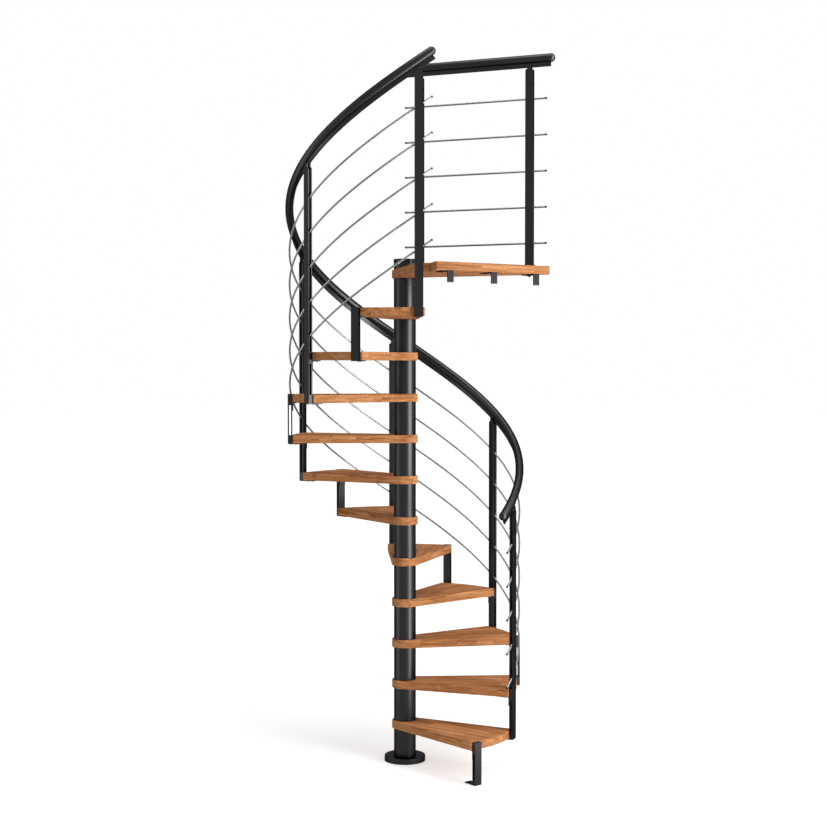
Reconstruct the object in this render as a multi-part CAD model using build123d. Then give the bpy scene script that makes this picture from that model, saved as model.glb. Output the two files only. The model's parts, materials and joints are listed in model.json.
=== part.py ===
from build123d import *
import math
import os

# Spiral stair: steel centre column, wooden treads, twin flat-bar posts, helical handrail and rods.
# Millimetres, +Z up, column axis on Z, floor at Z = 0. The stair climbs counter-clockwise from above.

# Climb
riser = 212.5
tread_count = 11
step_angle = 30.0
first_post_angle = -53.5
landing_top = riser * (tread_count + 1)

# Column
column_radius = 57.15
column_wall = 4.0
column_top = 2606.0
end_plate = 5.0
base_radius = 106.5
base_thickness = 28.0
base_edge_round = 3.0
base_clearance = 0.3

# Treads
tread_thickness = 41.0
tread_radius = 582.0
tread_overhang_angle = 3.0
collar_radius = 67.0
tread_corner_round = 6.0
tread_edge_round = 2.5
corner_zone = 0.9 * tread_radius

# Posts: two flat bars with a gap, closed by solid blocks at the tread levels
bar_width = 40.0
bar_thickness = 6.0
bar_gap = 11.2
bar_clearance = 0.3
shoulder_round = 10.0
shoulder_drop = 6.0
tongue_width = 20.0
heel_round = 5.0
flange_thickness = 5.0
flange_reach = 60.0
upper_block = 58.0
foot_block = 24.0
edge_tolerance = 1.0
rail_line = tread_radius + bar_clearance + bar_thickness + bar_gap / 2

# Angle brackets under the front corner of each tread
bracket_width = 36.0
bracket_drop = 45.0
bracket_reach = 50.0

# Handrail: round tube on an upright flat fin; heights above the helix through the tread tops
tube_radius = 21.2
tube_wall = 2.0
tube_height = 1176.0
fin_thickness = 8.0
fin_depth = 20.0
fin_gap = 0.3
fin_overlap = 14.0
rail_start_angle = -34.8
rail_end_angle = 282.3
fin_start_angle = -34.0
fin_end_angle = 283.7
rail_slope = riser / math.radians(step_angle) / rail_line
rail_slant = math.hypot(1, rail_slope)
fin_top = tube_height - tube_radius * rail_slant - fin_gap
fin_bottom = fin_top - fin_depth * rail_slant

# Rods
rod_radius = 5.0
rod_count = 5
rod_first_height = 278.0
rod_spacing = 170.0
rod_start_angle = -30.5
rod_end_angle = 282.5

# Landing: a wedge with its exit along the near edge; arc angles are from the last post
landing_near_left = (147.0, -700.0)
landing_near_right = (714.0, -335.0)
landing_far_right = (720.0, -305.0)
landing_arc_start = -1.5
landing_arc_end = 5.5
landing_neck_angle = -35.0

# Straight railing along the far edge of the landing
railing_start = (76.9, -98.6)
railing_angle = -23.0
railing_length = 586.5
railing_top = 3588.0
railing_left_overhang = 88.3
railing_right_overhang = 108.7
landing_rod_first = 2662.0
landing_rod_spacing = 177.4
landing_rod_left = 76.3
landing_rod_right = 83.7
post_base_width = 52.0
post_base_depth = 30.0
post_base_thickness = 6.0
post_base_block = 29.0

# Brackets under the near edge of the landing
edge_bracket_positions = (85.0, 341.0, 597.0)
edge_bracket_width = 36.0
edge_bracket_drop = 56.0
edge_bracket_reach = 100.0
edge_bracket_plate = 5.0


def polar(radius, angle):
    """Plan point at a radius and an angle in degrees."""
    return (radius * math.cos(math.radians(angle)), radius * math.sin(math.radians(angle)))


def post_angle(k):
    """Angle of the post between tread k and tread k + 1."""
    return first_post_angle + step_angle * k


def helix_height(angle):
    """Height of the helix through the tread tops at an angle."""
    return (angle - first_post_angle) / step_angle * riser


def block(x0, x1, width, z0, z1):
    """Box from x0 to x1 and z0 to z1, centred across Y."""
    return Pos((x0 + x1) / 2, 0, (z0 + z1) / 2) * Box(x1 - x0, width, z1 - z0)


def collar_tangent(point, side):
    """Angle on the collar circle where a line from a plan point touches it."""
    distance = math.hypot(*point)
    heading = math.degrees(math.atan2(point[1], point[0]))
    return heading + side * math.degrees(math.acos(collar_radius / distance))


def slab(outline_from_left, left_point, right_point, right, top):
    """Wooden slab: collar round the column joined by straight edges to an outer outline."""
    left = collar_tangent(left_point, -1)
    while right < left:
        right += 360.0
    back = (left + right) / 2 + 180.0
    start, middle, end = [polar(collar_radius, angle) for angle in (right, back, left)]
    edges = [ThreePointArc(start, middle, end), Line(end, left_point)]
    edges += outline_from_left
    edges.append(Line(right_point, start))
    face = make_face(edges)
    return Pos(0, 0, top - tread_thickness) * extrude(face, amount=tread_thickness)


def outer_arc(start_angle, end_angle):
    """Arc along the outer ends of the treads."""
    middle = (start_angle + end_angle) / 2
    return ThreePointArc(
        polar(tread_radius, start_angle), polar(tread_radius, middle), polar(tread_radius, end_angle)
    )


def soften(solid):
    """Round the upright outer corners, then the top and bottom edges of a slab."""
    corners = solid.edges().filter_by(Axis.Z)
    corners = [e for e in corners if math.hypot(e.center().X, e.center().Y) > corner_zone]
    solid = fillet(corners, tread_corner_round)
    rims = solid.faces().filter_by(Axis.Z).edges()
    return fillet(rims, tread_edge_round)


def make_tread(i):
    start = post_angle(i - 1) - tread_overhang_angle
    end = post_angle(i) + tread_overhang_angle
    start_point = polar(tread_radius, start)
    end_point = polar(tread_radius, end)
    solid = slab([outer_arc(start, end)], start_point, end_point, collar_tangent(end_point, 1), riser * i)
    return soften(solid)


def make_landing():
    start = post_angle(tread_count) + landing_arc_start
    end = post_angle(tread_count) + landing_arc_end
    outline = [
        outer_arc(start, end),
        Line(polar(tread_radius, end), landing_near_left),
        Line(landing_near_left, landing_near_right),
        Line(landing_near_right, landing_far_right),
    ]
    solid = slab(outline, polar(tread_radius, start), landing_far_right, landing_neck_angle, landing_top)
    return soften(solid)


def flat_bar(middle, width, bottom, top):
    """Upright flat bar with its thickness along X."""
    return block(middle - bar_thickness / 2, middle + bar_thickness / 2, width, bottom, top)


def twin_bars(bottom, top, centre, tongue_top=None):
    """Two upright flat bars either side of a plane, with rounded shoulders and a tongue if asked for."""
    bars = []
    for side in (-1, 1):
        middle = centre + side * (bar_gap + bar_thickness) / 2
        bar = flat_bar(middle, bar_width, bottom, top)
        if tongue_top:
            shoulders = [e for e in bar.edges().filter_by(Axis.X) if e.center().Z > top - edge_tolerance]
            tongue = flat_bar(middle, tongue_width, top - shoulder_round, tongue_top)
            bar = fillet(shoulders, shoulder_round).fuse(tongue)
        bars.append(bar)
    return bars


def filler(centre, bottom, top):
    """Solid block that closes the gap between two bars."""
    return block(centre - bar_gap / 2, centre + bar_gap / 2, bar_width, bottom, top)


def outer_post(k, top, tongue_top=None):
    """Post or spacer at the outer ends of treads k and k + 1, with its flange below tread k."""
    bottom = riser * k - tread_thickness - flange_thickness if k > 0 else 0.0
    low_block = riser * k if k > 0 else foot_block
    upper = riser * (k + 1)
    inner_face = rail_line - bar_gap / 2 - bar_thickness
    outer_face = rail_line + bar_gap / 2 + bar_thickness
    flange = block(inner_face - flange_reach, outer_face, bar_width, bottom, bottom + flange_thickness)
    pieces = twin_bars(bottom, top, rail_line, tongue_top)
    pieces += [filler(rail_line, bottom, low_block), filler(rail_line, upper - upper_block, upper), flange]
    solid = pieces[0].fuse(*pieces[1:]).clean()
    corner = Vector(outer_face, 0, bottom)
    heel = [e for e in solid.edges().filter_by(Axis.Y) if (e.center() - corner).length < edge_tolerance]
    return Rot(0, 0, post_angle(k)) * fillet(heel, heel_round)


def tread_bracket(k):
    """Angle bracket from post k to the underside of the tread above it."""
    inner_face = rail_line - bar_gap / 2 - bar_thickness
    under = riser * (k + 1) - tread_thickness
    leg = block(inner_face - flange_thickness, inner_face, bracket_width, under - bracket_drop, under)
    arm = block(inner_face - bracket_reach, inner_face, bracket_width, under - flange_thickness, under)
    return Rot(0, 0, post_angle(k)) * leg.fuse(arm).clean()


def rail_helix(radius, start_angle, end_angle, height):
    """Helix at a height above the tread tops, from one angle to another."""
    pitch = riser * 360.0 / step_angle
    turn = (end_angle - start_angle) / 360.0
    path = Helix(pitch, pitch * turn, radius)
    return Pos(0, 0, helix_height(start_angle) + height) * Rot(0, 0, start_angle) * path


def helical_bar(section, start_angle, end_angle, height):
    """Bar or tube of a round section, bent along the rail helix."""
    path = rail_helix(rail_line, start_angle, end_angle, height)
    return sweep(Plane(path @ 0, z_dir=path % 0) * section, path=path, is_frenet=True)


def helical_fin():
    """Upright flat bar below the helical handrail tube."""
    path = rail_helix(rail_line, fin_start_angle, fin_end_angle, (fin_bottom + fin_top) / 2)
    radial = Vector(*polar(1, fin_start_angle), 0)
    section = Plane(path @ 0, x_dir=radial, z_dir=path % 0)
    return sweep(section * Rectangle(fin_thickness, fin_depth), path=path, is_frenet=True)


def end_cap(point, direction):
    """Half-round cap on the end of a handrail tube."""
    dome = Sphere(tube_radius, arc_size1=0, align=(Align.CENTER, Align.CENTER, Align.MIN))
    return Plane(point, z_dir=direction) * dome


def on_railing(solid):
    """Place a piece made along +X on the line of the landing railing."""
    return Pos(*railing_start, 0) * Rot(0, 0, railing_angle) * solid


def bar_along(radius, start, end, z):
    """Round bar along the landing railing."""
    return on_railing(Pos((start + end) / 2, 0, z) * Rot(0, 90, 0) * Cylinder(radius, end - start))


def landing_rail():
    """Straight handrail tube above the landing."""
    z = railing_top - tube_radius
    start = -railing_left_overhang
    end = railing_length + railing_right_overhang
    return bar_along(tube_radius, start, end, z) - bar_along(tube_radius - tube_wall, start, end, z)


def landing_rail_cap(distance, side):
    """Cap on the landing handrail, facing back or forth along the railing."""
    return on_railing(end_cap((distance, 0, railing_top - tube_radius), (side, 0, 0)))


def railing_fin_span():
    top = railing_top - 2 * tube_radius - fin_gap
    return top - fin_depth, top


def landing_fin():
    bottom, top = railing_fin_span()
    start = -railing_left_overhang
    end = railing_length + railing_right_overhang
    return on_railing(block(start, end, fin_thickness, bottom, top))


def landing_post(distance):
    """Twin-bar post on a small base plate on top of the landing."""
    bottom, top = railing_fin_span()
    base_top = landing_top + post_base_thickness
    pieces = twin_bars(base_top, bottom - shoulder_drop, 0, bottom + fin_overlap)
    pieces.append(filler(0, base_top, base_top + post_base_block))
    pieces.append(block(-post_base_depth / 2, post_base_depth / 2, post_base_width, landing_top, base_top))
    solid = pieces[0].fuse(*pieces[1:]).clean()
    return on_railing(Pos(distance, 0, 0) * Rot(0, 0, 90) * solid)


def edge_bracket(distance):
    """Angle bracket below the near edge of the landing."""
    under = landing_top - tread_thickness
    dx = landing_near_right[0] - landing_near_left[0]
    dy = landing_near_right[1] - landing_near_left[1]
    heading = math.degrees(math.atan2(dy, dx))
    leg = block(0, edge_bracket_plate, edge_bracket_width, under - edge_bracket_drop, under)
    arm = block(0, edge_bracket_reach, edge_bracket_width, under - edge_bracket_plate, under)
    solid = Rot(0, 0, 90) * leg.fuse(arm).clean()
    place = Pos(*landing_near_left, 0) * Rot(0, 0, heading) * Pos(distance, tread_edge_round, 0)
    return place * solid


def column_piece(bottom, top, hollow_bottom, hollow_top):
    """Piece of the column tube, hollow over part or all of its height."""
    outside = Pos(0, 0, (bottom + top) / 2) * Cylinder(column_radius, top - bottom)
    inside = Pos(0, 0, (hollow_bottom + hollow_top) / 2)
    inside = inside * Cylinder(column_radius - column_wall, hollow_top - hollow_bottom)
    return outside - inside


nodes = {}

base = Cylinder(base_radius, base_thickness) - Cylinder(column_radius + base_clearance, base_thickness)
rim = base.faces().sort_by(Axis.Z)[-1].edges().sort_by(SortBy.LENGTH)[-1]
nodes["base_flange"] = Pos(0, 0, base_thickness / 2) * fillet(rim, base_edge_round)

# The lowest tube stands on the floor inside the base ring and is closed by a plate, as the stub on top is
foot_top = riser - tread_thickness
tubes = [column_piece(0, foot_top, end_plate, foot_top)]
for i in range(1, tread_count + 1):
    bottom = riser * i
    top = bottom + riser - tread_thickness
    tubes.append(column_piece(bottom, top, bottom, top))
nodes["column_tubes"] = Compound(children=tubes)
nodes["column_cap"] = column_piece(landing_top, column_top, landing_top, column_top - end_plate)

for i in range(1, tread_count + 1):
    nodes[f"tread_{i:02d}"] = make_tread(i)
nodes["landing"] = make_landing()

for k in range(1, tread_count + 1, 2):
    fin_level = riser * k + fin_bottom
    nodes[f"post_{k:02d}"] = outer_post(k, fin_level - shoulder_drop, fin_level + fin_overlap)
for k in range(2, tread_count, 2):
    nodes[f"spacer_{k:02d}"] = outer_post(k, riser * (k + 1))
nodes["foot_bracket"] = outer_post(0, riser)
nodes["tread_brackets"] = Compound(children=[tread_bracket(k) for k in range(tread_count + 1)])

rail_section = Circle(tube_radius) - Circle(tube_radius - tube_wall)
nodes["spiral_handrail"] = helical_bar(rail_section, rail_start_angle, rail_end_angle, tube_height)
nodes["spiral_rail_fin"] = helical_fin()
for n in range(rod_count):
    height = rod_first_height + rod_spacing * n
    nodes[f"spiral_rod_{n + 1}"] = helical_bar(Circle(rod_radius), rod_start_angle, rod_end_angle, height)

nodes["landing_post_left"] = landing_post(0)
nodes["landing_post_right"] = landing_post(railing_length)
nodes["landing_handrail"] = landing_rail()
nodes["landing_rail_fin"] = landing_fin()
landing_rods = []
for n in range(rod_count):
    z = landing_rod_first + landing_rod_spacing * n
    landing_rods.append(bar_along(rod_radius, -landing_rod_left, railing_length + landing_rod_right, z))
nodes["landing_rods"] = Compound(children=landing_rods)
rail_path = rail_helix(rail_line, rail_start_angle, rail_end_angle, tube_height)
caps = [end_cap(rail_path @ 0, -(rail_path % 0)), end_cap(rail_path @ 1, rail_path % 1)]
caps.append(landing_rail_cap(-railing_left_overhang, -1))
caps.append(landing_rail_cap(railing_length + railing_right_overhang, 1))
nodes["rail_end_caps"] = Compound(children=caps)
nodes["landing_brackets"] = Compound(children=[edge_bracket(d) for d in edge_bracket_positions])

os.makedirs("parts", exist_ok=True)
for name, shape in nodes.items():
    export_step(shape, f"parts/{name}.step")
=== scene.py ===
# %% [markdown]
# # A spiral stair of wood and black steel
#
# The solid pieces of this stair come ready made, each in its true place and size. This lesson gives them
# their looks: the camera, a white studio, three finishes, and the small fittings that are too fine for the
# solids. Everything is in metres, with the column on the Z axis and the floor at zero, so a piece goes
# where it belongs by plain arithmetic.

# %% Load the stair
import json
import math

import bmesh
import bpy
from mathutils import Matrix, Vector


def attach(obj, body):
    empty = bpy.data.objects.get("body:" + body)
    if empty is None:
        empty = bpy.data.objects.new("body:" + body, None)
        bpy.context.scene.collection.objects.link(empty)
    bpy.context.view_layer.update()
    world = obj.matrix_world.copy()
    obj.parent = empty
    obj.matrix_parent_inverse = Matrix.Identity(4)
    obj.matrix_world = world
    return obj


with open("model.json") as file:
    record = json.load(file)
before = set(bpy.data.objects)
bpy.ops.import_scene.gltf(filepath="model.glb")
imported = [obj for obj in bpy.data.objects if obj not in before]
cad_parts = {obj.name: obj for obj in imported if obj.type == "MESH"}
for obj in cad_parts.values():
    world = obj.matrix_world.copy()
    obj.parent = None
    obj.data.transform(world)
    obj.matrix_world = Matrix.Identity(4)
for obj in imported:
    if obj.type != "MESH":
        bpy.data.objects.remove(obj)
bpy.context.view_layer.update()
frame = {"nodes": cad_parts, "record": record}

# %% [markdown]
# ## The camera
#
# A product picture of a tall thing is taken from far away with a long lens, so that its uprights stay
# parallel. The eye is a little above the middle of the stair: the lower treads show their tops and the
# upper ones their undersides. A lens is chosen in Blender by its length for a 36 mm film, so a focal length
# that was worked out in picture dots is turned into millimetres here.

# %% Camera
film_width = 36.0
picture_dots = 828
focal_dots = 1492.9
eye_distance = 7.737
eye_height = 2.062
look_down = math.radians(1.890)
turn_right = math.radians(0.351)

camera_data = bpy.data.cameras.new("studio_camera")
camera_data.sensor_width = film_width
camera_data.lens = film_width * focal_dots / picture_dots
camera = bpy.data.objects.new("studio_camera", camera_data)
camera.location = (0.0, -eye_distance, eye_height)
camera.rotation_euler = (math.pi / 2 - look_down, 0.0, -turn_right)
bpy.context.scene.collection.objects.link(camera)
bpy.context.scene.camera = camera
print("lens", round(camera_data.lens, 1), "mm, eye", eye_distance, "m away")

# %% [markdown]
# ## Shader sums in plain Python
#
# A procedural finish is mostly arithmetic: this stripe plus that cloud, times a strength. Drawing every
# Math node by hand hides the thought, so a small class wraps a node's output and lets Python's own signs
# add the nodes. Colours must not go through Math nodes, which turn them grey, so they have their own mixing
# method.

# %% Wires: node outputs that can be added and multiplied
class Wire:
    """One output on its way to other nodes. Sums and products of wires add Math nodes."""

    def __init__(self, bench, socket):
        self.bench = bench
        self.socket = socket

    def math(self, operation, *values):
        return self.bench.add("ShaderNodeMath", {"operation": operation}, dict(enumerate(values)))

    def __add__(self, other):
        return self.math("ADD", self, other)

    def __sub__(self, other):
        return self.math("SUBTRACT", self, other)

    def __rsub__(self, other):
        return self.math("SUBTRACT", other, self)

    def __mul__(self, other):
        return self.math("MULTIPLY", self, other)

    def __truediv__(self, other):
        return self.math("DIVIDE", self, other)

    def __rtruediv__(self, other):
        return self.math("DIVIDE", other, self)

    __radd__ = __add__
    __rmul__ = __mul__

    def floor(self):
        return self.math("FLOOR", self)

    def fraction(self):
        return self.math("FRACT", self)

    def absolute(self):
        return self.math("ABSOLUTE", self)

    def cosine(self):
        return self.math("COSINE", self)

    def sine(self):
        return self.math("SINE", self)

    def larger(self, other):
        return self.math("MAXIMUM", self, other)

    def above(self, limit):
        return self.math("GREATER_THAN", self, limit)

    def root(self):
        return self.math("SQRT", self)

    def between(self, low, high):
        """Nought below the low value, one above the high one, and an even climb in between."""
        sockets = {"Value": self, "From Min": low, "From Max": high}
        return self.bench.add("ShaderNodeMapRange", {"clamp": True}, sockets, "Result")


print("wires can be added and multiplied")


# %% Benches: where nodes are laid out
class Bench:
    """A node tree whose nodes are all added by one method."""

    def __init__(self, tree):
        self.tree = tree
        self.tree.nodes.clear()

    def add(self, kind, settings, sockets, output=0):
        """Make a node: its settings first, then values or wires for its sockets."""
        node = self.tree.nodes.new(kind)
        for name, value in settings.items():
            if name == "stops":
                self.set_stops(node.color_ramp, value)
            else:
                setattr(node, name, value)
        for key, value in sockets.items():
            if isinstance(value, Wire):
                self.tree.links.new(value.socket, node.inputs[key])
            else:
                node.inputs[key].default_value = value
        return Wire(self, node.outputs[output]) if len(node.outputs) else None

    def set_stops(self, ramp, stops):
        while len(ramp.elements) < len(stops):
            ramp.elements.new(1.0)
        for element, (place, colour) in zip(ramp.elements, stops):
            element.position = place
            element.color = (*colour, 1.0)

    def position(self):
        """The place on the stair, in metres, as three wires."""
        place = self.add("ShaderNodeTexCoord", {}, {}, "Object")
        split = self.add("ShaderNodeSeparateXYZ", {}, {"Vector": place})
        return [Wire(self, split.socket.node.outputs[axis]) for axis in "XYZ"]

    def vector(self, x, y, z):
        return self.add("ShaderNodeCombineXYZ", {}, {"X": x, "Y": y, "Z": z})

    def cloud(self, place, scale, detail):
        """Soft noise between about 0.3 and 0.7."""
        sockets = {"Vector": place, "Scale": scale, "Detail": detail}
        return self.add("ShaderNodeTexNoise", {"noise_dimensions": "3D"}, sockets, "Fac")

    def chance(self, x, y, z):
        """A different even chance from 0 to 1 for each set of whole numbers."""
        sockets = {"Vector": self.vector(x, y, z)}
        return self.add("ShaderNodeTexWhiteNoise", {"noise_dimensions": "3D"}, sockets, "Value")

    def ramp(self, factor, stops):
        return self.add("ShaderNodeValToRGB", {"stops": stops}, {"Fac": factor}, "Color")

    def mix(self, factor, first, second):
        sockets = {0: factor, 6: first, 7: second}
        return self.add("ShaderNodeMix", {"data_type": "RGBA"}, sockets, 2)

    def bump(self, height, strength, distance):
        sockets = {"Strength": strength, "Distance": distance, "Height": height}
        return self.add("ShaderNodeBump", {}, sockets, "Normal")

    def seen_directly(self):
        """One for what the camera, a mirror or a clear pane looks at, nought for light that spreads."""
        seen = self.add("ShaderNodeLightPath", {}, {}, "Is Camera Ray")
        outputs = seen.socket.node.outputs
        mirrored = Wire(self, outputs["Is Glossy Ray"])
        through = Wire(self, outputs["Is Transmission Ray"])
        return seen.larger(mirrored).larger(through)


class Finish(Bench):
    """A material on its bench."""

    def __init__(self, name):
        self.material = bpy.data.materials.new(name)
        self.material.use_nodes = True
        super().__init__(self.material.node_tree)

    def surface(self, sockets):
        """Close the finish with one Principled shader."""
        shader = self.add("ShaderNodeBsdfPrincipled", {}, sockets, "BSDF")
        self.add("ShaderNodeOutputMaterial", {}, {"Surface": shader})
        return self.material


print("benches ready for finishes and the studio")

# %% [markdown]
# ## The treads: glued wooden lamellae
#
# The treads and the landing are thick boards glued from narrow lamellae, oiled to a warm orange brown. Each
# lamella is cut into staves of its own shade, and fine darker streaks run along the board. One could lay a
# picture of wood on each tread, but a picture repeats. Here the shader finds out for itself which step a
# point belongs to, from its height, turns the pattern along that step and draws staves and streaks for it,
# so no two treads are alike.

# %% Wood shades and sizes
riser = 0.2125
step_turn = math.radians(30.0)
first_post_heading = math.radians(-53.5)
lamella_width = 0.038
stave_length = 0.31
seam_share = 0.03
wood_shades = [
    (0.00, (0.225, 0.079, 0.026)),
    (0.36, (0.405, 0.166, 0.062)),
    (0.62, (0.515, 0.228, 0.092)),
    (1.00, (0.665, 0.328, 0.152)),
]
seam_shade = (0.25, 0.09, 0.032, 1.0)
seam_strength = 0.2
print(len(wood_shades), "shades of wood")

# %% [markdown]
# ### Grain
#
# Grain is noise that is stretched along the board: few changes per metre along it, many across it and
# through its thickness. Three sizes of it are laid over each other: broad bands, streaks and fine flecks.
# Each stave takes its bands and streaks from another height of the noise, so that the pattern breaks off at
# its ends as in glued wood.

# %% Grain sizes, in changes per metre along, across and upwards, and their shares in the tone
band_grain, band_share = (2.5, 22.0, 80.0), 1.6
streak_grain, streak_share = (7.0, 100.0, 320.0), 1.2
fleck_grain, fleck_share = (60.0, 420.0, 900.0), 0.5
stave_share = 0.20
band_jump, streak_jump = 9.0, 17.0
wander_scale, wander_reach = 3.0, 0.03
print("streaks are about", round(1000.0 / streak_grain[1]), "mm wide")

# %% Wood finish
step_start = 0.9
lane_offset = 0.37
stave_slide = 5.0
slide_seed, shade_seed = 3.0, 11.0
wood_roughness, streak_roughness = 0.66, 0.24
wood_shine = 0.03
streak_pores, fleck_pores, seam_groove = 0.6, 0.4, 0.4
pore_strength, pore_depth = 0.16, 0.0005


def wood(name, board_heading=None):
    """Oiled lamella wood; without a heading of its own, the grain follows each tread."""
    finish = Finish(name)
    x, y, z = finish.position()
    step = (z / riser + step_start).floor()
    if board_heading is None:
        heading = step * step_turn + (first_post_heading - step_turn / 2)
        turn_cos, turn_sin = heading.cosine(), heading.sine()
    else:
        turn_cos, turn_sin = math.cos(board_heading), math.sin(board_heading)
    along = x * turn_cos + y * turn_sin
    across = y * turn_cos - x * turn_sin

    lamella = across / lamella_width + step * lane_offset
    lane = lamella.floor()
    slide = finish.chance(lane, step, slide_seed)
    stave = (along / stave_length + slide * stave_slide).floor()
    shade = finish.chance(lane, stave, step + shade_seed)

    wander = finish.cloud(finish.vector(along, across, step), wander_scale, detail=2.0)
    bent = across + (wander - 0.5) * wander_reach

    def grain(sizes, jump, detail):
        """Noise stretched along the board; the jump takes each stave to another height of it."""
        lengthwise, sideways, upwards = sizes
        place = finish.vector(along * lengthwise, bent * sideways, z * upwards + shade * jump)
        return finish.cloud(place, 1.0, detail)

    bands = grain(band_grain, band_jump, detail=3.0)
    streaks = grain(streak_grain, streak_jump, detail=4.0)
    flecks = grain(fleck_grain, 0.0, detail=2.0)

    tone = 0.5 + (shade - 0.5) * stave_share + (bands - 0.5) * band_share
    tone = tone + (streaks - 0.5) * streak_share + (flecks - 0.5) * fleck_share
    colour = finish.ramp(tone, wood_shades)
    in_seam = (lamella.fraction() - 0.5).absolute().above(0.5 - seam_share / 2)
    colour = finish.mix(in_seam * seam_strength, colour, seam_shade)

    pores = streaks * streak_pores + flecks * fleck_pores - in_seam * seam_groove
    return finish.surface(
        {
            "Base Color": colour,
            "Roughness": wood_roughness + streaks * streak_roughness,
            "Specular IOR Level": wood_shine,
            "Normal": finish.bump(pores, pore_strength, pore_depth),
        }
    )


exit_edge = Vector((0.567, 0.365, 0.0))
tread_wood = wood("oiled_tread_wood")
landing_wood = wood("oiled_landing_wood", math.atan2(exit_edge.y, exit_edge.x))
print("wood finishes", tread_wood.name, landing_wood.name)

# %% [markdown]
# ## The steelwork: black powder coat
#
# Column, posts and rails are steel with a baked powder coat: nearly black, satin, with the faint ripple of
# powder that melted and ran together. A clear varnish would shine white along every edge seen at a slant,
# which this coat doesn't do. So it is made as a dark metal whose edge tint is held down: it mirrors the
# lamps softly and stays dark at the rims. The ripple is bump, and the gloss changes a little where hands
# and shoes have polished it. The brackets below the landing get a duller and darker copy of the coat: this
# is painted shade, which keeps them from mirroring the right strip as brightly as the column does.

# %% Powder coat
coat_rim = (0.40, 0.40, 0.41, 1.0)
coat_coolness = 1.04
ripple_scale, ripple_strength, ripple_depth = 420.0, 0.08, 0.0004
handled_scale, handled_gloss = 5.0, 0.10


def near_black(brightness):
    """A grey with a touch of blue."""
    return (brightness, brightness, brightness * coat_coolness, 1.0)


def powder_coat(name, roughness, dull, polished):
    """Black coat with a fine ripple, of one brightness where dull and another where polished."""
    finish = Finish(name)
    place = finish.vector(*finish.position())
    ripple = finish.cloud(place, ripple_scale, detail=2.0)
    handled = finish.cloud(place, handled_scale, detail=3.0)
    return finish.surface(
        {
            "Base Color": finish.mix(handled, near_black(dull), near_black(polished)),
            "Metallic": 1.0,
            "Roughness": roughness + handled_gloss / 2 - handled * handled_gloss,
            "Specular Tint": coat_rim,
            "Normal": finish.bump(ripple, ripple_strength, ripple_depth),
        }
    )


steel_coat = powder_coat("black_powder_coat", roughness=0.33, dull=0.0208, polished=0.0268)
# A darker, duller copy of the coat for the brackets under the landing: painted shade, so that they mirror
# the right strip less.
shaded_bracket_coat = powder_coat("matt_shaded_bracket_coat", roughness=0.50, dull=0.0075, polished=0.0100)
print("coats", steel_coat.name, shaded_bracket_coat.name)

# %% [markdown]
# ## The rods: brushed stainless steel
#
# The thin rods in the railing are bare stainless steel, drawn through a die, which leaves fine marks along
# them. A full metal shader shows the studio around it, and the marks break the reflection up. The metal is
# on the dark side, so that a rod stands out against white as a grey line with a light thread where it meets
# a lamp.

# %% Stainless finish
rod_dark = (0.125, 0.125, 0.13, 1.0)
rod_light = (0.23, 0.23, 0.235, 1.0)
rod_rim = (0.7, 0.7, 0.7, 1.0)
marks_across, marks_upwards = 900.0, 60.0
rod_roughness, mark_roughness = 0.22, 0.16


def stainless(name):
    """Drawn stainless rod."""
    finish = Finish(name)
    x, y, z = finish.position()
    place = finish.vector(x * marks_across, y * marks_across, z * marks_upwards)
    marks = finish.cloud(place, 1.0, detail=3.0)
    return finish.surface(
        {
            "Base Color": finish.mix(marks, rod_dark, rod_light),
            "Metallic": 1.0,
            "Roughness": rod_roughness + marks * mark_roughness,
            "Specular Tint": rod_rim,
        }
    )


rod_steel = stainless("drawn_stainless")
print("rods", rod_steel.name)

# %% [markdown]
# ## Dressing the solids
#
# A solid keeps its shape and gets a finish by its slot. The pieces made of flat bar have knife-sharp edges
# in the solids. Real bar has its edges broken, which catches a thread of light, so a small bevel is added
# as a modifier: the solid itself stays as it was.

# %% Give every solid its finish
finish_by_slot = {"wood": tread_wood, "black_steel": steel_coat, "stainless_rod": rod_steel}
# The landing brackets take the copy of the coat with painted shade.
own_finish = {"landing": landing_wood, "landing_brackets": shaded_bracket_coat}
slot_of = {part["node"]: part["material_slot"] for part in frame["record"]["subparts"]}
for node, solid in frame["nodes"].items():
    solid.data.materials.clear()
    solid.data.materials.append(own_finish.get(node, finish_by_slot[slot_of[node]]))
print(len(slot_of), "solids dressed")

# %% Break the edges of the flat bars
edge_break = 0.0009
corner_gap = 0.00002
sharp_turn = math.radians(40.0)
bar_pieces = ("post_", "spacer_", "foot_", "landing_post", "landing_brackets", "tread_brackets")
softened = [solid for node, solid in frame["nodes"].items() if node.startswith(bar_pieces)]
for solid in softened:
    weld = solid.modifiers.new("join_corners", "WELD")
    weld.merge_threshold = corner_gap
    bevel = solid.modifiers.new("broken_edge", "BEVEL")
    bevel.width = edge_break
    bevel.segments = 2
    bevel.limit_method = "ANGLE"
    bevel.angle_limit = sharp_turn
print(len(softened), "bar pieces softened")

# %% [markdown]
# ## Turned fittings
#
# Screws, nuts and plugs are all turned on a lathe: a profile goes once round an axis. So one helper spins a
# profile and sets a copy at each place, pointing the way it is told. The copies of one kind make one
# object, which keeps the list of pieces short. A profile is a list of radius and height, which starts and
# ends on the axis, so that every copy is closed.

# %% The lathe
crease_angle = math.radians(35.0)


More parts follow.
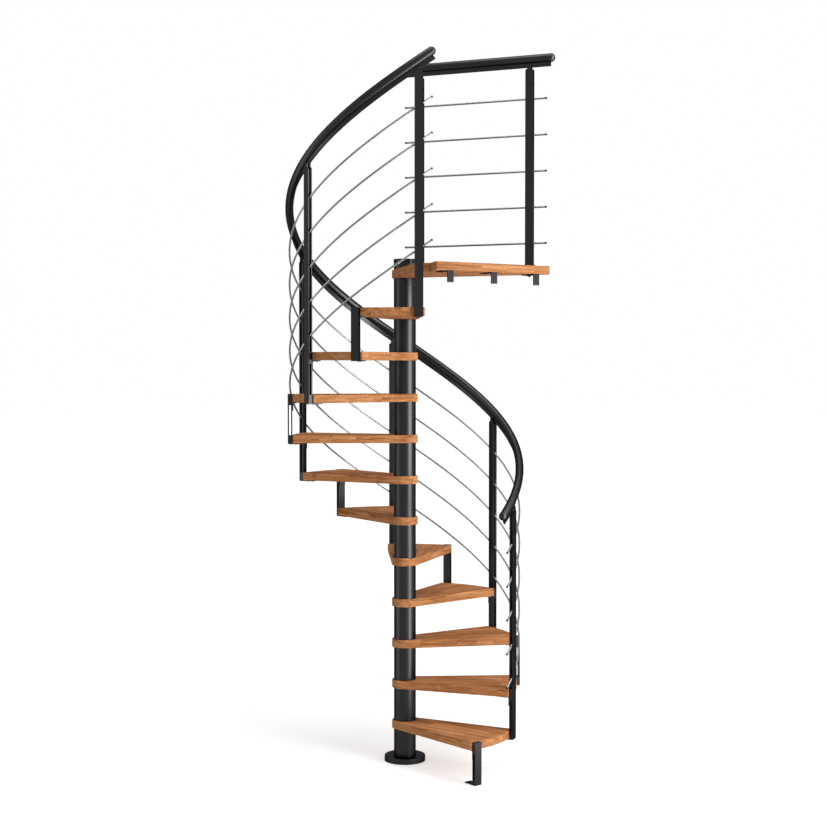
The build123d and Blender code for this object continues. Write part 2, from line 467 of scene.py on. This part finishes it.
def lathe(name, profile, places, sides, finish):
    """Spin a profile of (radius, height) points and set a copy at each (point, direction)."""
    mesh = bpy.data.meshes.new(name)
    shape = bmesh.new()
    for point, direction in places:
        turn = Vector(direction).to_track_quat("Z", "Y").to_matrix().to_4x4()
        place = Matrix.Translation(point) @ turn
        rings = []
        for radius, height in profile:
            ring_sides = sides if radius > 0.0 else 1
            angles = [math.tau * i / sides for i in range(ring_sides)]
            spots = [Vector((radius * math.cos(a), radius * math.sin(a), height)) for a in angles]
            rings.append([shape.verts.new(place @ spot) for spot in spots])
        for upper, lower in zip(rings, rings[1:]):
            for i in range(sides):
                corners = [upper[i % len(upper)], lower[i % len(lower)]]
                corners += [lower[(i + 1) % len(lower)], upper[(i + 1) % len(upper)]]
                shape.faces.new(list(dict.fromkeys(corners)))
    bmesh.ops.recalc_face_normals(shape, faces=shape.faces)
    shape.to_mesh(mesh)
    shape.free()
    mesh.shade_smooth()
    mesh.set_sharp_from_angle(angle=crease_angle)
    mesh.materials.append(finish)
    piece = bpy.data.objects.new(name, mesh)
    bpy.context.scene.collection.objects.link(piece)
    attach(piece, "root")
    print(name, len(places), "turned,", len(mesh.polygons), "faces")
    return piece


# %% [markdown]
# ## Plugs in the ends of the rods
#
# Each rod ends in a small black plug, a little wider than the rod, with a domed end. A rod of the spiral is
# a helix: its height grows evenly with its turn round the column, so its tips and the way they point follow
# from the angle.

# %% Tips of the rods
rod_line = 0.5939
rod_start = math.radians(-30.5)
rod_end = math.radians(282.5)
rod_count = 5
rod_first_height = 0.278
rod_spacing = 0.170
rod_climb = riser / step_turn


def helix_tip(turn, height, way):
    """Point on a rod's helix and the direction in which it leaves, up (1) or down (-1) the stair."""
    point = (
        rod_line * math.cos(turn),
        rod_line * math.sin(turn),
        (turn - first_post_heading) * rod_climb + height,
    )
    heading = (-rod_line * math.sin(turn), rod_line * math.cos(turn), rod_climb)
    return point, [way * v for v in heading]


railing_heading = math.radians(-23.0)
railing_way = Vector((math.cos(railing_heading), math.sin(railing_heading), 0.0))
railing_foot = Vector((0.0769, -0.0986, 0.0))
railing_length = 0.5865
level_rod_first = 2.662
level_rod_spacing = 0.1774
level_rod_left, level_rod_right = 0.0763, 0.0837
tips = []
for n in range(rod_count):
    height = rod_first_height + rod_spacing * n
    tips += [helix_tip(rod_start, height, -1), helix_tip(rod_end, height, 1)]
    foot = railing_foot + Vector((0.0, 0.0, level_rod_first + level_rod_spacing * n))
    tips.append((foot - railing_way * level_rod_left, -railing_way))
    tips.append((foot + railing_way * (railing_length + level_rod_right), railing_way))
print(len(tips), "rod tips")

# %% Plugs
plug_profile = [
    (0.0, 0.0062),
    (0.0025, 0.0059),
    (0.0044, 0.0046),
    (0.0054, 0.0026),
    (0.0055, -0.0010),
    (0.0055, -0.0034),
    (0.0051, -0.0040),
    (0.0051, 0.0002),
    (0.0, 0.0002),
]
lathe("rod_plugs", plug_profile, tips, sides=20, finish=steel_coat)

# %% [markdown]
# ## Screws
#
# The flange at the foot of every post and the arm of every angle bracket are screwed up into the wood, and
# the lowest flange is screwed down to the floor. The heads are low domes with a socket in the middle, and
# they hang from the plates, so they show when the stair is seen from below.

# %% Screw heads
tread_thickness = 0.041
plate_thickness = 0.005
post_inner_face = 0.5823
rise_count = 12
landing_level = riser * rise_count
screw_radius = 0.0052
screw_profile = [
    (0.0, 0.0010),
    (0.0019, 0.0010),
    (0.0021, 0.0029),
    (0.0032, 0.0029),
    (0.0046, 0.0021),
    (screw_radius, 0.0009),
    (screw_radius, -0.0004),
    (0.0, -0.0004),
]
print("a screw head is", round(2000.0 * screw_radius, 1), "mm wide")

# %% Screws at the posts
flange_insets = (0.018, 0.044)
bracket_insets = (0.016, 0.038)
up, down = Vector((0.0, 0.0, 1.0)), Vector((0.0, 0.0, -1.0))
screw_spots = []
for k in range(rise_count):
    heading = first_post_heading + step_turn * k
    outward = Vector((math.cos(heading), math.sin(heading), 0.0))
    flange_under = riser * k - tread_thickness - plate_thickness
    bracket_under = riser * (k + 1) - tread_thickness - plate_thickness
    for inset in flange_insets:
        spot = outward * (post_inner_face - inset)
        if k == 0:
            screw_spots.append((spot + up * plate_thickness, up))
        else:
            screw_spots.append((spot + up * flange_under, down))
    for inset in bracket_insets:
        screw_spots.append((outward * (post_inner_face - inset) + up * bracket_under, down))
print(len(screw_spots), "screws at the posts")

# %% Screws below the landing
exit_edge_start = Vector((0.147, -0.700, 0.0))
exit_edge_way = exit_edge.normalized()
exit_edge_inward = Vector((-exit_edge_way.y, exit_edge_way.x, 0.0))
edge_bracket_places = (0.085, 0.341, 0.597)
edge_screw_insets = (0.030, 0.078)
landing_under = landing_level - tread_thickness
for distance in edge_bracket_places:
    for inset in edge_screw_insets:
        spot = exit_edge_start + exit_edge_way * distance + exit_edge_inward * inset
        screw_spots.append((spot + up * (landing_under - plate_thickness), down))
lathe("plate_screws", screw_profile, screw_spots, sides=24, finish=steel_coat)

# %% [markdown]
# ## Bolts of the landing posts
#
# The two posts of the straight railing stand on small plates on top of the landing. A bolt goes down from
# each plate through the wood and ends in a washer and nut below it. A nut is a turned piece with six sides.

# %% Washers, nuts and bolt ends
post_feet = [railing_foot, railing_foot + railing_way * railing_length]
below = [(foot + up * landing_under, down) for foot in post_feet]
washer_profile = [(0.0, 0.0018), (0.0115, 0.0018), (0.0120, 0.0013), (0.0120, -0.0002), (0.0, -0.0002)]
nut_profile = [
    (0.0, 0.0094),
    (0.0050, 0.0094),
    (0.0088, 0.0086),
    (0.0092, 0.0078),
    (0.0092, 0.0016),
    (0.0, 0.0016),
]
bolt_profile = [(0.0, 0.0140), (0.0036, 0.0140), (0.0046, 0.0130), (0.0046, 0.0090), (0.0, 0.0090)]
lathe("landing_washers", washer_profile, below, sides=28, finish=steel_coat)
lathe("landing_nuts", nut_profile, below, sides=6, finish=steel_coat)
lathe("landing_bolt_ends", bolt_profile, below, sides=20, finish=steel_coat)

# %% [markdown]
# ## The lid of the column
#
# A shallow black lid closes the column above the landing. It fits over the tube, so its rim stands a little
# proud and shows as a dark line below the top edge.

# %% Column lid
column_radius = 0.05715
column_top = 2.606
lid_clearance = 0.0001
lid_profile = [
    (0.0, 0.0016),
    (0.0500, 0.0016),
    (0.0560, 0.0010),
    (0.0581, -0.0010),
    (0.0583, -0.0120),
    (0.0579, -0.0132),
    (column_radius + lid_clearance, -0.0132),
    (column_radius + lid_clearance, 0.0002),
    (0.0, 0.0002),
]
lathe("column_lid", lid_profile, [(up * column_top, up)], sides=96, finish=steel_coat)

# %% [markdown]
# ## The white studio
#
# The picture has a plain white ground and soft light. A white world lights everything a little from all
# sides, and is full white to the camera and in mirrors. A large soft box at the right, in front, is the
# main light. One above and a small one over the lower steps lighten the tops of the treads. Two tall strips
# light nothing that is matt: they are there to be mirrored, and draw the upright bands on the round column.
# A panel high up is of the same kind and draws the sheen along the slanting handrails.

# %% World
ambient_light = 0.50
world = bpy.data.worlds.new("white_studio")
bpy.context.scene.world = world
world.use_nodes = True
sky = Bench(world.node_tree)
sky_strength = ambient_light + sky.seen_directly() * (1.0 - ambient_light)
white = (1.0, 1.0, 1.0, 1.0)
backdrop = sky.add("ShaderNodeBackground", {}, {"Color": white, "Strength": sky_strength})
sky.add("ShaderNodeOutputWorld", {}, {"Surface": backdrop})
print("world light", ambient_light)

# %% Lamps
aim = Vector((0.0, 0.0, 1.75))


def soft_box(name, place, target, width, tall, watts):
    """A rectangle of light at a place, turned to a target."""
    data = bpy.data.lights.new(name, "AREA")
    data.shape = "RECTANGLE"
    data.size = width
    data.size_y = tall
    data.energy = watts
    lamp = bpy.data.objects.new(name, data)
    lamp.location = place
    lamp.rotation_euler = (target - place).to_track_quat("-Z", "Y").to_euler()
    lamp.visible_camera = False
    bpy.context.scene.collection.objects.link(lamp)
    return lamp


def around(heading, distance, height):
    """A place round the column. Heading 0 is the camera's side, plus is to the right."""
    turn = math.radians(heading)
    return Vector((distance * math.sin(turn), -distance * math.cos(turn), height))


def mirror_strip(name, heading, distance, height, width, tall, watts):
    """An upright strip that shows in glossy surfaces only."""
    place = around(heading, distance, height)
    strip = soft_box(name, place, Vector((0.0, 0.0, height)), width, tall, watts)
    strip.visible_diffuse = False
    return strip


soft_box("main_soft_box", around(50.0, 5.5, 2.4), aim, width=2.4, tall=4.0, watts=195.0)
soft_box("top_soft_box", Vector((0.6, -0.8, 6.5)), aim, width=3.0, tall=3.0, watts=66.0)
low_place, low_aim = Vector((1.5, -0.9, 2.0)), Vector((0.3, -0.1, 0.4))
low_box = soft_box("low_soft_box", low_place, low_aim, width=0.8, tall=0.8, watts=13.0)
low_box.visible_glossy = False
print(len(bpy.data.lights), "lamps for the wood")

# %% Strips and a panel that are only mirrored
strip_distance, strip_height, strip_tall = 1.7, 2.32, 4.6
mirror_strip("right_strip", 58.0, strip_distance, strip_height, width=0.85, tall=strip_tall, watts=145.0)
mirror_strip("left_strip", -77.0, strip_distance, strip_height, width=0.65, tall=strip_tall, watts=25.0)
panel_place, panel_aim = Vector((0.2, -0.4, 6.0)), Vector((0.2, -0.4, 0.0))
high_panel = soft_box("high_panel", panel_place, panel_aim, width=2.4, tall=2.8, watts=120.0)
high_panel.visible_diffuse = False
print(len(bpy.data.lights), "lamps in all")

# %% [markdown]
# ## The floor
#
# The floor is a very large sheet of white paper. Light that spreads from it is plain paper light. To the
# camera and in mirrors it also glows a little, more so far away where the lamps don't reach, so that it
# meets the white world without a line. Near the stair the glow is weak enough to leave a shadow.

# %% Floor
floor_reach = 60.0
floor_corners = [(-1, -1), (1, -1), (1, 1), (-1, 1)]
floor_mesh = bpy.data.meshes.new("studio_floor")
floor_points = [(x * floor_reach, y * floor_reach, 0.0) for x, y in floor_corners]
floor_mesh.from_pydata(floor_points, [], [(0, 1, 2, 3)])
floor = bpy.data.objects.new("studio_floor", floor_mesh)
bpy.context.scene.collection.objects.link(floor)
print("floor reaches", floor_reach, "m each way")

# %% Floor paper
glow_starts, glow_full = 1.5, 6.0
near_glow = (0.72, 0.72, 0.72, 1.0)
glow_strength = 0.70
paper = Finish("white_paper")
paper_white = {"Base Color": (0.8, 0.8, 0.8, 1.0), "Roughness": 0.9, "Specular IOR Level": 0.0}
x, y = paper.position()[:2]
far_away = (x * x + y * y).root().between(glow_starts, glow_full)
paper_glow = {"Emission Color": paper.mix(far_away, near_glow, white), "Emission Strength": glow_strength}
plain = paper.add("ShaderNodeBsdfPrincipled", {}, paper_white, "BSDF")
glowing = paper.add("ShaderNodeBsdfPrincipled", {}, {**paper_white, **paper_glow}, "BSDF")
either = paper.add("ShaderNodeMixShader", {}, {0: paper.seen_directly(), 1: plain, 2: glowing})
paper.add("ShaderNodeOutputMaterial", {}, {"Surface": either})
floor_mesh.materials.append(paper.material)
print("the floor glows fully from", glow_full, "m")

# %% View settings
bpy.context.scene.view_settings.view_transform = "Standard"
print("view transform", bpy.context.scene.view_settings.view_transform)
